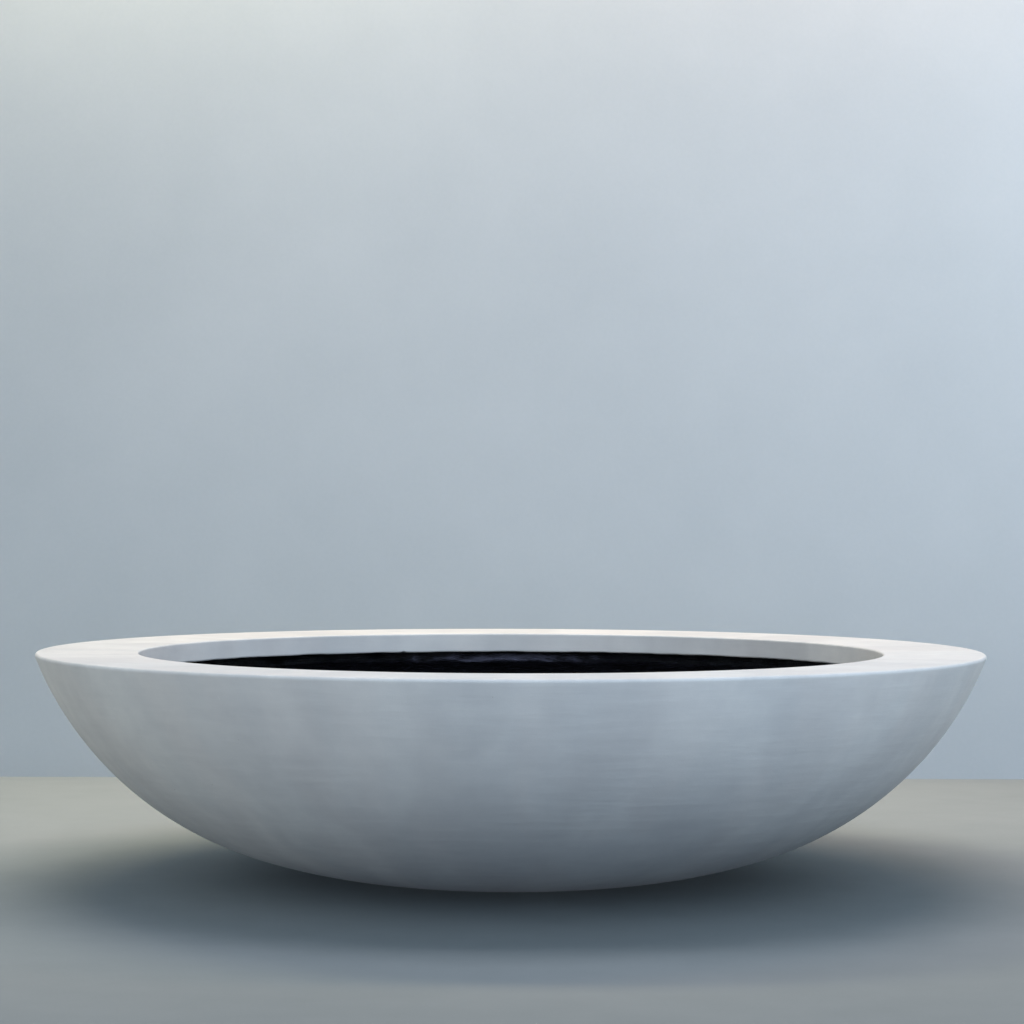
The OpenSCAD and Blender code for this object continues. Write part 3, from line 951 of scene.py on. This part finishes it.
NUT_SIDES = 6
NUT_STEPS = 16 * NUT_SIDES
NUT_EDGE = 0.6 * MM
NUT_FACE_EDGE = 0.4 * MM
NUT_LEAST_CUT = 0.15 * MM
flats_r = nut_high.y
bore_r = thread_r + 0.1 * MM
chamfer_r = flats_r * 1.01
chamfer_slope = math.tan(math.radians(30))


def strips(shape, loops):
    """Joins each closed loop of points to the next one with faces, and the last one to the first."""
    for first, second in zip(loops, loops[1:] + loops[:1]):
        for i in range(len(first)):
            n = (i + 1) % len(first)
            shape.faces.new((first[i], first[n], second[n], second[i]))


def nut_mesh():
    """A hexagonal nut. Its corners are cut by a cone, so each flat ends in the curve that a real nut has."""
    shape = bmesh.new()
    rows = []
    for i in range(NUT_STEPS):
        angle = 2 * math.pi * i / NUT_STEPS
        off_flat = (angle % (2 * math.pi / NUT_SIDES)) - math.pi / NUT_SIDES
        side_r = flats_r / math.cos(off_flat)
        cut_z = max(0.0, side_r - chamfer_r) * chamfer_slope + NUT_LEAST_CUT
        ends = ((bore_r + NUT_EDGE, 0), (chamfer_r - NUT_FACE_EDGE, 0), (side_r, cut_z))
        row = [(r, nut_low.z + rise) for r, rise in ends] + [(r, nut_high.z - rise) for r, rise in ends[::-1]]
        row += [(bore_r, nut_high.z - NUT_EDGE), (bore_r, nut_low.z + NUT_EDGE)]
        rows.append([shape.verts.new((r * math.cos(angle), r * math.sin(angle), z)) for r, z in row])
    strips(shape, rows)
    mesh = bpy.data.meshes.new("back_nut")
    shape.to_mesh(mesh)
    shape.free()
    return mesh


finished("back_nut", nut_mesh(), "planter", "drain_nut", plastic)

# %% [markdown]
# ### The strainer
#
# The strainer is a pressed disc with one hole in the middle, which its outline leaves open, and with
# rings of holes round it, six more in each ring. The tree sets a cutter on the place of every hole in
# the rings, and takes them all out of the disc in one Mesh Boolean. The edges of the disc are eased.

# %% Tree and mesh of the strainer
STRAINER_RINGS = 2
PUNCH_SIDES = 24
PUNCH_LENGTH = 10 * MM
given, result, body = turned_tree("perforated_disc", 96, Pitch=0.006, Hole_Radius=0.002, Middle_Height=0.02)
rings = [add(body.tree, "GeometryNodeMeshCircle", {"Vertices": 6 * n, "Radius": given["Pitch"] * n})["Mesh"]
         for n in range(1, STRAINER_RINGS + 1)]
places = add(body.tree, "GeometryNodeJoinGeometry", {"Geometry": rings})["Geometry"]
wires = {"Geometry": places, "Translation": join(z=given["Middle Height"])}
places = add(body.tree, "GeometryNodeTransform", wires)["Geometry"]
wires = {"Vertices": PUNCH_SIDES, "Radius": given["Hole Radius"], "Depth": PUNCH_LENGTH}
punch = add(body.tree, "GeometryNodeMeshCylinder", wires)["Mesh"]
end_of_tree(cut_away(body, punch, places), given, result)

hole_r = 2 * MM
disc_outline = eased(corners((hole_r, strainer_low.z), (strainer_high.x, strainer_low.z),
                             (strainer_high.x, strainer_high.z), (hole_r, strainer_high.z)), cut=0.35 * MM)
strainer_mesh = run_tree("strainer_disc", disc_outline, "perforated_disc", Steps_Round=96,
                         Pitch=(plug_bore_r - 2 * hole_r) / (STRAINER_RINGS + 0.3), Hole_Radius=hole_r,
                         Middle_Height=(strainer_low.z + strainer_high.z) / 2, Material=steel)
finished("strainer_disc", strainer_mesh, "planter", "drain_strainer")

# %% [markdown]
# ## The rubber plug
#
# The plug is moulded in one: a flat head that lies on the flange, a tapered shank, and a tab with a
# finger hole. Rubber has no sharp inner corners, so the parts are joined as voxels and smoothed. That
# rounds every edge and fills the corner between tab and head, as a mould does.

# %% Make the plug
PLUG_PLAY = 0.3 * MM
VOXEL = 0.55 * MM
TAB_STEPS = 48
CORNER = 0.707  # sine and cosine where the tab's line turns the corners of its square foot
head_t = 5 * MM
head_r = plug_high.x
head_z = sleeve_high.z + PLUG_PLAY
shank_top_r = plug_bore_r - PLUG_PLAY
shank_foot_r = shank_top_r - 2 * MM
tab_w = 24 * MM
tab_t = 6 * MM
tab_hole_r = 6 * MM
tab_centre_z = plug_high.z - tab_w / 2
tab_root = tab_centre_z - head_z - head_t / 2


def tab_line(x, z):
    """A point of the tab's outer line in some direction: half a circle on top and a square foot."""
    if z >= 0:
        return x * tab_w / 2, z * tab_w / 2
    return max(-1.0, min(1.0, x / CORNER)) * tab_w / 2, max(-1.0, z / CORNER) * tab_root


def add_tab(shape):
    """Adds the upright tab with its hole: its outer line and the line of its hole, each on both faces."""
    turns = [2 * math.pi * i / TAB_STEPS for i in range(TAB_STEPS)]
    outer = [tab_line(math.cos(angle), math.sin(angle)) for angle in turns]
    inner = [(math.cos(angle) * tab_hole_r, math.sin(angle) * tab_hole_r) for angle in turns]
    sides = ((outer, -tab_t / 2), (outer, tab_t / 2), (inner, tab_t / 2), (inner, -tab_t / 2))
    strips(shape, [[shape.verts.new((x, y, tab_centre_z + z)) for x, z in line] for line, y in sides])


plug_points = [(shank_foot_r, plug_low.z), (shank_top_r, head_z - mouth_depth - PLUG_PLAY),
               (shank_top_r + mouth_grow, head_z), (head_r, head_z), (head_r, head_z + 0.6 * head_t),
               (head_r - 0.4 * head_t, head_z + head_t), (0.6 * head_r, head_z + head_t)]
plug_mesh = turn_piece("rubber_plug", solid_outline(plug_points, cut=0.8 * MM), rubber)
shape = bmesh.new()
shape.from_mesh(plug_mesh)
add_tab(shape)
bmesh.ops.recalc_face_normals(shape, faces=shape.faces)
shape.to_mesh(plug_mesh)
shape.free()
rough_plug = placed("plug_rough", plug_mesh)
remesh = rough_plug.modifiers.new("one_moulding", "REMESH")
remesh.mode = "VOXEL"
remesh.voxel_size = VOXEL
soften = rough_plug.modifiers.new("soft_corners", "SMOOTH")
soften.factor = 0.5
soften.iterations = 5
finished("rubber_plug", kept_mesh("rubber_plug", rough_plug), "plug", "drain_plug", rubber)

# %% [markdown]
# ## Pieces that stay as they are
#
# The mortar bed and the steel hoop are closed in between ring and shell. Their measured shape is
# right, so they only get their material.

# %% Finish the hidden pieces
for name, material in (("rim_bond", mortar), ("rim_hoop", steel)):
    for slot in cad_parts[name].material_slots:
        slot.material = material
    print(name, "->", material.name)

# %% [markdown]
# ## Stage and light
#
# A plain floor, and a plain wall 1.5 m behind the axis. Both let the camera see through their backs,
# so that they don't stand in the way when the bowl is looked at from behind or from below.
#
# Three lamps stand overhead, two of them behind the bowl, so the flat rim is the brightest part and
# the wall of the bowl gets darker towards the floor. Four lamps light the bowl's side: a cool one on
# the right, a warm one on the left and two cool ones in front, one high and one low. They leave the
# floor alone, so its soft shadow keeps the shape that the lamps overhead give it. One lamp brightens
# the wall on the right, and a low bluish one shines under the rim, where it gives the black coat its
# faint glints. A last, very weak one shines up through the floor, as light thrown back by the floor
# does, and shows the underside.

# %% Floor and wall
def stage_finish(name, pale, dark, cloud_size):
    """A plain painted surface. The camera sees through its back."""
    material, skin, place = new_finish(name, Specular_IOR_Level=0.2, Roughness=0.85)
    send(skin, Base_Color=use(clouds, Vector=place, Cloud_Size=cloud_size, Pale=pale, Dark=dark)["Color"])
    tree = place.tree
    behind = add(tree, "ShaderNodeNewGeometry")["Backfacing"]
    seen = add(tree, "ShaderNodeLightPath")["Is Camera Ray"]
    paint = Value(tree, tree.nodes["Principled BSDF"].outputs["BSDF"])
    clear = add(tree, "ShaderNodeBsdfTransparent")["BSDF"]
    both = add(tree, "ShaderNodeMixShader", {0: behind * seen, 1: paint, 2: clear})["Shader"]
    send(tree.nodes["Material Output"].inputs, Surface=both)
    return material


def flat_stage(name, near, far, material):
    """One plain face that isn't part of the object, between two edges that are known by depth and height."""
    face_corners = [(-STAGE_HALF, *near), (STAGE_HALF, *near), (STAGE_HALF, *far), (-STAGE_HALF, *far)]
    mesh = bpy.data.meshes.new(name)
    mesh.from_pydata(face_corners, [], [(0, 1, 2, 3)])
    mesh.materials.append(material)
    made = placed(name, mesh)
    return made


WALL_Y = 1.523
STAGE_HALF = 9.0
WALL_TOP = 1.9
FLOOR_Z = -0.2 * MM
floor = flat_stage("floor", (-STAGE_HALF, FLOOR_Z), (WALL_Y, FLOOR_Z),
                   stage_finish("floor_paint", (0.395, 0.435, 0.445, 1), (0.35, 0.39, 0.40, 1), 0.5))
wall = flat_stage("wall", (WALL_Y, FLOOR_Z), (WALL_Y, WALL_TOP),
                  stage_finish("wall_paint", (0.45, 0.495, 0.535, 1), (0.41, 0.455, 0.495, 1), 0.9))
print("stage ready")

# %% Lamps
def linked(name, state, *pieces):
    """A collection that tells a lamp to light only these pieces, or all but these."""
    made = bpy.data.collections.new(name)
    for i, piece in enumerate(pieces):
        made.objects.link(piece)
        made.collection_objects[i].light_linking.link_state = state
    return made


def softbox(name, place, aim, size, watts, colour, lights=None, in_gloss=False):
    """A wide, soft lamp that the camera doesn't see. lights is a collection that linked has made."""
    data = bpy.data.lights.new(name, "AREA")
    data.shape = "RECTANGLE"
    data.size, data.size_y = size
    data.energy = watts
    data.color = colour
    made = placed(name, data)
    aimed = (Vector(aim) - Vector(place)).to_track_quat("-Z", "Y").to_matrix().to_4x4()
    made.matrix_world = Matrix.Translation(place) @ aimed
    made.visible_camera = False
    made.visible_glossy = in_gloss
    made.light_linking.receiver_collection = lights
    print("lamp:", name, watts, "W")
    return made


off_floor = linked("off_floor", "EXCLUDE", floor)
off_stage = linked("off_stage", "EXCLUDE", floor, wall)
on_wall = linked("on_wall", "INCLUDE", wall)
on_lining = linked("on_lining", "INCLUDE", bpy.data.objects["black_lining"])

softbox("overhead_left", (-0.9, 1.38, 2.6), (-0.9, 0.9, 0), (1.6, 0.4), 35, (1.0, 0.85, 0.56))
softbox("overhead_right", (0.9, 1.38, 2.6), (0.9, 0.9, 0), (1.6, 0.4), 23, (1.0, 0.70, 0.46))
softbox("overhead_middle", (0, 0, 2.8), (0, 0, 0), (2.4, 1.2), 29, (0.90, 0.89, 0.95), in_gloss=True)
softbox("front", (0.2, -3.4, 1.9), (0.1, 0, 0.25), (2.4, 0.8), 29, (0.72, 0.85, 1.0), off_floor)
softbox("front_low", (0.2, -3.4, 0.35), (0.1, 0, 0.2), (2.4, 0.5), 10, (0.66, 0.78, 1.0), off_floor)
softbox("left", (-3.2, -2.0, 0.9), (0, 0, 0.25), (2.0, 0.8), 24, (1.0, 0.97, 0.84), off_floor)
softbox("right", (3.05, -1.95, 1.75), (0, 0, 0.25), (2.0, 0.8), 59, (0.75, 0.88, 1.0), off_floor)
softbox("wall_wash", (1.9, 0.5, 1.5), (1.35, 1.52, 1.0), (1.0, 1.0), 12, (0.98, 1.0, 1.0), on_wall)
softbox("window", (0.15, -3.6, 0.9), (0, 0.6, 0.3), (2.4, 0.5), 30, (0.52, 0.60, 1.0), on_lining,
        in_gloss=True)
below = softbox("below", (0, 0, -0.7), (0, 0, 0), (0.7, 0.7), 0.4, (0.78, 0.86, 1.0), off_stage)
below.light_linking.blocker_collection = off_stage

# %% Sky
world = bpy.data.worlds.new("sky")
scene.world = world
world.use_nodes = True
sky = world.node_tree
seen = add(sky, "ShaderNodeLightPath")["Is Camera Ray"]
send(sky.nodes["Background"].inputs, Color=tint(seen, (0.24, 0.30, 0.37, 1), (0.62, 0.66, 0.70, 1)))
print("sky ready")
